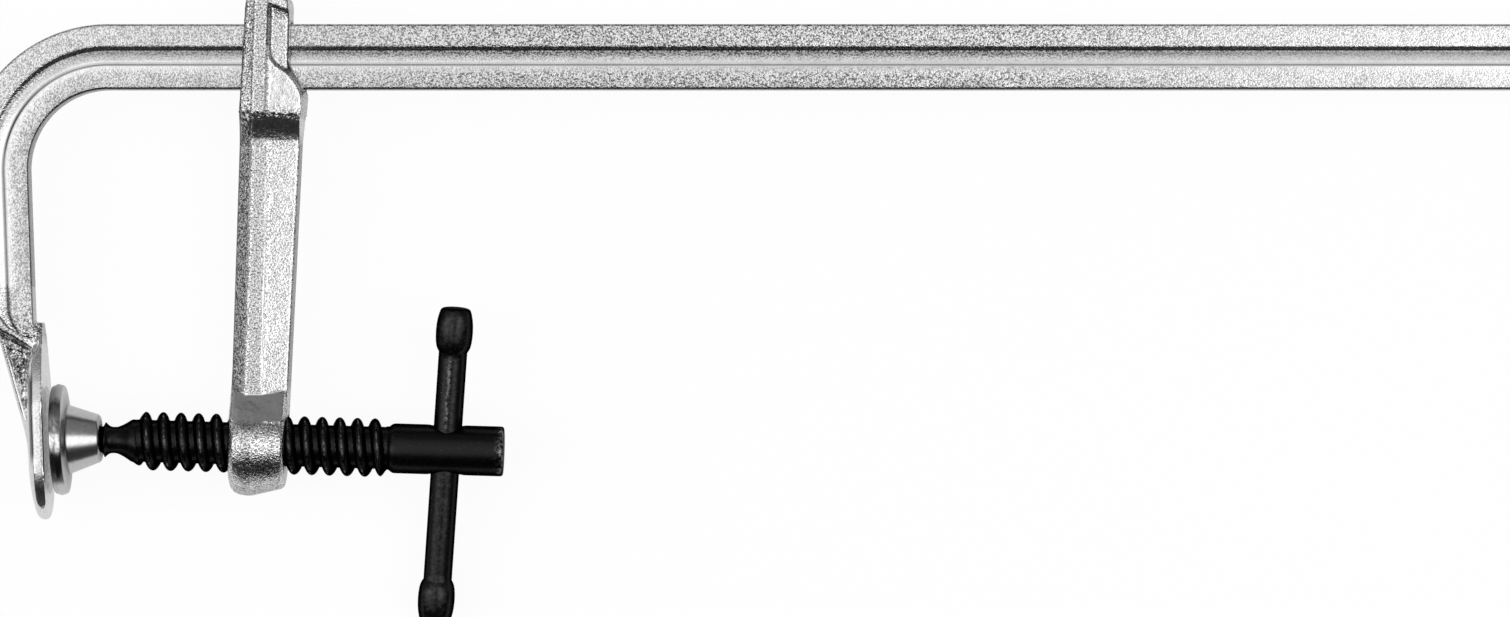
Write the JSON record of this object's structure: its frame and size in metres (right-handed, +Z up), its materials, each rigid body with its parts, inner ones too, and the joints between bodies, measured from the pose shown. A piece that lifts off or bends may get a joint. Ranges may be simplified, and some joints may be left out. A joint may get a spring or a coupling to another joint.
{
  "type": "all-steel bar clamp",
  "caption": "All-steel bar clamp: a sliding arm with a screw, tommy bar and swivel pad works against the fixed jaw of a profiled rail.",
  "frame": {"origin": "centre of the fixed jaw's clamping face, where the spindle's line meets it", "axes": "+X along the rail from the fixed jaw to the far end, +Y from the spindle to the rail, +Z up through the thickness as the clamp lies flat"},
  "size_m": [0.5783, 0.2153, 0.038],
  "materials": {
    "bright_steel": "drop-forged steel, blasted and bright zinc plated, with a fine sparkling grain",
    "pad_steel": "turned steel, smooth bright zinc",
    "black_steel": "black oxide, semi-gloss, with worn thread crests",
    "spring_steel": "hardened spring steel, plain"
  },
  "bodies": {
    "rail": {"rail_bar": "bright_steel", "rail_end_pin": "spring_steel"},
    "arm": {"sliding_arm": "bright_steel"},
    "pad_ring": {"pad_snap_ring": "spring_steel"},
    "screw": {"spindle": "black_steel"},
    "tommy": {"tommy_bar": "black_steel"},
    "pad": {"pressure_pad": "pad_steel"}
  },
  "joints": [
    {"name": "arm_slide", "type": "slide", "parent": "rail", "child": "arm", "axis": [1, 0, 0], "range_m": [0, 0.4561]},
    {"name": "spindle_feed", "type": "slide", "parent": "arm", "child": "pad_ring", "axis": [0.9996, -0.0297, 0], "range_m": [0, 0.0418]},
    {"name": "spindle_turn", "type": "hinge", "parent": "pad_ring", "child": "screw", "pos_m": [0.01039, 0.00036, 0], "axis": [0.9996, -0.0297, 0], "range_deg": [0, 2507.9]},
    {"name": "tommy_slide", "type": "slide", "parent": "screw", "child": "tommy", "axis": [0.0746, 0.9852, 0.1546], "range_m": [-0.0248, 0.036]},
    {"name": "pad_tilt", "type": "hinge", "parent": "pad_ring", "child": "pad", "pos_m": [0.01039, 0.00036, 0], "axis": [0, 0, 1], "range_deg": [-6, 6]}
  ],
  "couplings": [
    {"joint": "spindle_feed", "follows": "spindle_turn", "m_per_rad": 0.00095493}
  ]
}
